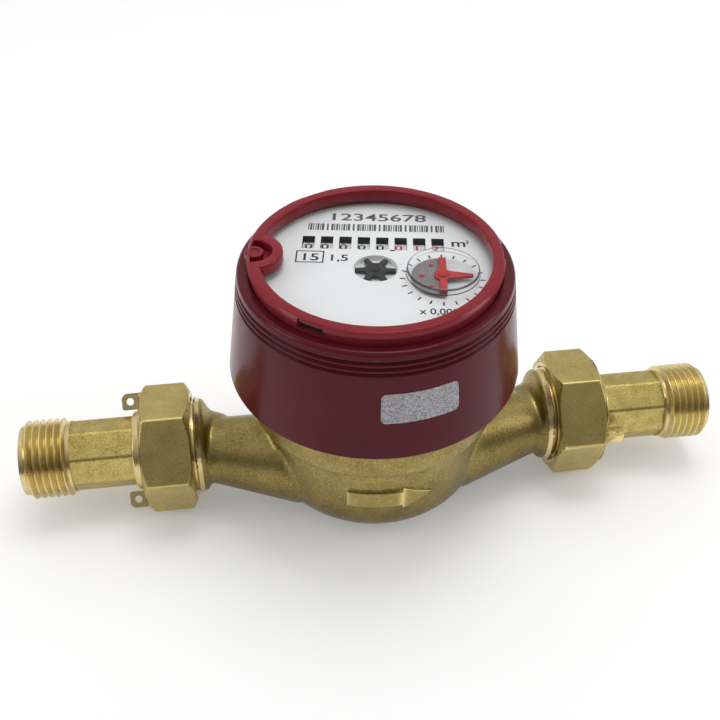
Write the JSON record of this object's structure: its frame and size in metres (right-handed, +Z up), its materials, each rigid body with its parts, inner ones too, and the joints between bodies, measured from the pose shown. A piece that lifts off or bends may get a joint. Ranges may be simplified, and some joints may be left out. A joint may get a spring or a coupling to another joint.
{
  "type": "water meter",
  "caption": "Single-jet dry-dial water meter: cast brass body with union couplings, red turning cover, clear cap, digit drums, star wheel and litre pointer.",
  "frame": {"origin": "centre of the flat underside of the brass bowl, below the register's axis", "axes": "+X along the pipe in the direction of flow, +Z up the register's axis, -Y the front with the flow arrow"},
  "size_m": [0.187, 0.0744, 0.0755],
  "materials": {
    "cast_brass": "bead-blasted cast brass",
    "turned_brass": "bright turned brass",
    "cover_plastic": "glossy dark crimson moulding",
    "bezel_plastic": "glossy red moulding",
    "foil": "embossed silver foil",
    "clear_plastic": "clear moulded cap",
    "dial_plastic": "pale printed dial",
    "white_plastic": "natural white moulding",
    "drum_plastic": "white drum with printed digits",
    "black_plastic": "dark moulding",
    "seal_rubber": "black rubber",
    "steel": "bright steel",
    "ferrite": "dark ferrite",
    "pointer_red": "red pointer"
  },
  "bodies": {
    "root": {"meter_body": "cast_brass", "lower_pivot": "steel", "inlet_strainer": "white_plastic", "pressure_plate": "black_plastic", "plate_o_ring": "seal_rubber", "clamp_ring": "turned_brass"},
    "head": {"lower_cover": "cover_plastic", "bezel_ring": "bezel_plastic", "seal_plug": "bezel_plastic", "security_label": "foil", "register_case": "white_plastic", "register_cap": "clear_plastic", "dial_plate": "dial_plastic", "train_plate": "turned_brass", "train_pillars": "turned_brass", "counter_frame": "steel", "drum_axle": "steel", "pinion_axle": "steel"},
    "turbine": {"impeller": "white_plastic", "impeller_axle": "steel", "impeller_magnet": "ferrite"},
    "centre": {"driver_magnet": "ferrite", "centre_arbor": "steel", "star_wheel": "black_plastic"},
    "first": {"first_wheel": "white_plastic"},
    "second": {"second_wheel": "white_plastic"},
    "pointer": {"pointer_wheel": "white_plastic", "litre_pointer": "pointer_red", "pointer_half_disc": "steel"},
    "middle": {"middle_wheel": "white_plastic"},
    "drum_drive": {"drum_drive_wheel": "white_plastic"},
    "drum_1": {"number_drum_1": "drum_plastic"},
    "drum_2": {"number_drum_2": "drum_plastic"},
    "drum_3": {"number_drum_3": "drum_plastic"},
    "drum_4": {"number_drum_4": "drum_plastic"},
    "drum_5": {"number_drum_5": "drum_plastic"},
    "drum_6": {"number_drum_6": "drum_plastic"},
    "drum_7": {"number_drum_7": "drum_plastic"},
    "drum_8": {"number_drum_8": "drum_plastic"},
    "pinion_1": {"transfer_pinion_1": "white_plastic"},
    "pinion_2": {"transfer_pinion_2": "white_plastic"},
    "pinion_3": {"transfer_pinion_3": "white_plastic"},
    "pinion_4": {"transfer_pinion_4": "white_plastic"},
    "pinion_5": {"transfer_pinion_5": "white_plastic"},
    "pinion_6": {"transfer_pinion_6": "white_plastic"},
    "pinion_7": {"transfer_pinion_7": "white_plastic"},
    "inlet_tail": {"inlet_tailpiece": "turned_brass", "inlet_gasket": "seal_rubber"},
    "outlet_tail": {"outlet_tailpiece": "turned_brass", "outlet_gasket": "seal_rubber"},
    "inlet_nut": {"inlet_nut": "cast_brass"},
    "outlet_nut": {"outlet_nut": "cast_brass"}
  },
  "joints": [
    {"name": "head_swivel", "type": "hinge", "parent": "root", "child": "head", "pos_m": [0, 0, 0], "axis": [0, 0, 1], "continuous": true},
    {"name": "impeller_spin", "type": "hinge", "parent": "root", "child": "turbine", "pos_m": [0, 0, 0], "axis": [0, 0, 1], "continuous": true},
    {"name": "centre_spin", "type": "hinge", "parent": "head", "child": "centre", "pos_m": [0, 0, 0], "axis": [0, 0, 1], "continuous": true},
    {"name": "first_spin", "type": "hinge", "parent": "head", "child": "first", "pos_m": [0.00307, -0.00562, 0], "axis": [0, 0, 1], "continuous": true},
    {"name": "second_spin", "type": "hinge", "parent": "head", "child": "second", "pos_m": [0.00895, -0.00814, 0], "axis": [0, 0, 1], "continuous": true},
    {"name": "pointer_spin", "type": "hinge", "parent": "head", "child": "pointer", "pos_m": [0.01514, -0.00649, 0], "axis": [0, 0, 1], "continuous": true},
    {"name": "middle_spin", "type": "hinge", "parent": "head", "child": "middle", "pos_m": [0.01681, 0.00083, 0], "axis": [0, 0, 1], "continuous": true},
    {"name": "drum_drive_spin", "type": "hinge", "parent": "head", "child": "drum_drive", "pos_m": [0.02086, 0.00716, 0], "axis": [0, 0, 1], "continuous": true},
    {"name": "drum_1_spin", "type": "hinge", "parent": "head", "child": "drum_1", "pos_m": [0.00173, 0.01036, 0.06165], "axis": [0.9863, -0.165, 0], "continuous": true},
    {"name": "drum_2_spin", "type": "hinge", "parent": "head", "child": "drum_2", "pos_m": [0.00173, 0.01036, 0.06165], "axis": [0.9863, -0.165, 0], "continuous": true},
    {"name": "drum_3_spin", "type": "hinge", "parent": "head", "child": "drum_3", "pos_m": [0.00173, 0.01036, 0.06165], "axis": [0.9863, -0.165, 0], "continuous": true},
    {"name": "drum_4_spin", "type": "hinge", "parent": "head", "child": "drum_4", "pos_m": [0.00173, 0.01036, 0.06165], "axis": [0.9863, -0.165, 0], "continuous": true},
    {"name": "drum_5_spin", "type": "hinge", "parent": "head", "child": "drum_5", "pos_m": [0.00173, 0.01036, 0.06165], "axis": [0.9863, -0.165, 0], "continuous": true},
    {"name": "drum_6_spin", "type": "hinge", "parent": "head", "child": "drum_6", "pos_m": [0.00173, 0.01036, 0.06165], "axis": [0.9863, -0.165, 0], "continuous": true},
    {"name": "drum_7_spin", "type": "hinge", "parent": "head", "child": "drum_7", "pos_m": [0.00173, 0.01036, 0.06165], "axis": [0.9863, -0.165, 0], "continuous": true},
    {"name": "drum_8_spin", "type": "hinge", "parent": "head", "child": "drum_8", "pos_m": [0.00173, 0.01036, 0.06165], "axis": [0.9863, -0.165, 0], "continuous": true},
    {"name": "pinion_1_spin", "type": "hinge", "parent": "head", "child": "pinion_1", "pos_m": [0.00244, 0.01459, 0.05805], "axis": [0.9863, -0.165, 0], "continuous": true},
    {"name": "pinion_2_spin", "type": "hinge", "parent": "head", "child": "pinion_2", "pos_m": [0.00244, 0.01459, 0.05805], "axis": [0.9863, -0.165, 0], "continuous": true},
    {"name": "pinion_3_spin", "type": "hinge", "parent": "head", "child": "pinion_3", "pos_m": [0.00244, 0.01459, 0.05805], "axis": [0.9863, -0.165, 0], "continuous": true},
    {"name": "pinion_4_spin", "type": "hinge", "parent": "head", "child": "pinion_4", "pos_m": [0.00244, 0.01459, 0.05805], "axis": [0.9863, -0.165, 0], "continuous": true},
    {"name": "pinion_5_spin", "type": "hinge", "parent": "head", "child": "pinion_5", "pos_m": [0.00244, 0.01459, 0.05805], "axis": [0.9863, -0.165, 0], "continuous": true},
    {"name": "pinion_6_spin", "type": "hinge", "parent": "head", "child": "pinion_6", "pos_m": [0.00244, 0.01459, 0.05805], "axis": [0.9863, -0.165, 0], "continuous": true},
    {"name": "pinion_7_spin", "type": "hinge", "parent": "head", "child": "pinion_7", "pos_m": [0.00244, 0.01459, 0.05805], "axis": [0.9863, -0.165, 0], "continuous": true},
    {"name": "inlet_tail_slide", "type": "slide", "parent": "root", "child": "inlet_tail", "axis": [-1, 0, 0], "range_m": [0, 0.00637]},
    {"name": "inlet_nut_turn", "type": "hinge", "parent": "inlet_tail", "child": "inlet_nut", "pos_m": [0, 0, 0.013], "axis": [-1, 0, 0], "range_deg": [0, 1260]},
    {"name": "outlet_tail_slide", "type": "slide", "parent": "root", "child": "outlet_tail", "axis": [1, 0, 0], "range_m": [0, 0.00637]},
    {"name": "outlet_nut_turn", "type": "hinge", "parent": "outlet_tail", "child": "outlet_nut", "pos_m": [0, 0, 0.013], "axis": [1, 0, 0], "range_deg": [0, 1260]}
  ],
  "couplings": [
    {"joint": "centre_spin", "follows": "impeller_spin", "ratio": 1},
    {"joint": "first_spin", "follows": "impeller_spin", "ratio": -0.33333},
    {"joint": "second_spin", "follows": "impeller_spin", "ratio": 0.11111},
    {"joint": "pointer_spin", "follows": "impeller_spin", "ratio": -0.037037},
    {"joint": "middle_spin", "follows": "impeller_spin", "ratio": 0.018519},
    {"joint": "drum_drive_spin", "follows": "impeller_spin", "ratio": -0.0092593},
    {"joint": "drum_1_spin", "follows": "impeller_spin", "ratio": 0.00000000037037},
    {"joint": "drum_2_spin", "follows": "impeller_spin", "ratio": 0.0000000037037},
    {"joint": "drum_3_spin", "follows": "impeller_spin", "ratio": 0.000000037037},
    {"joint": "drum_4_spin", "follows": "impeller_spin", "ratio": 0.00000037037},
    {"joint": "drum_5_spin", "follows": "impeller_spin", "ratio": 0.0000037037},
    {"joint": "drum_6_spin", "follows": "impeller_spin", "ratio": 0.000037037},
    {"joint": "drum_7_spin", "follows": "impeller_spin", "ratio": 0.00037037},
    {"joint": "drum_8_spin", "follows": "impeller_spin", "ratio": 0.0037037},
    {"joint": "pinion_1_spin", "follows": "impeller_spin", "ratio": -0.00000000092593},
    {"joint": "pinion_2_spin", "follows": "impeller_spin", "ratio": -0.0000000092593},
    {"joint": "pinion_3_spin", "follows": "impeller_spin", "ratio": -0.000000092593},
    {"joint": "pinion_4_spin", "follows": "impeller_spin", "ratio": -0.00000092593},
    {"joint": "pinion_5_spin", "follows": "impeller_spin", "ratio": -0.0000092593},
    {"joint": "pinion_6_spin", "follows": "impeller_spin", "ratio": -0.000092593},
    {"joint": "pinion_7_spin", "follows": "impeller_spin", "ratio": -0.00092593},
    {"joint": "inlet_tail_slide", "follows": "inlet_nut_turn", "m_per_rad": 0.00028871},
    {"joint": "outlet_tail_slide", "follows": "outlet_nut_turn", "m_per_rad": 0.00028871}
  ]
}
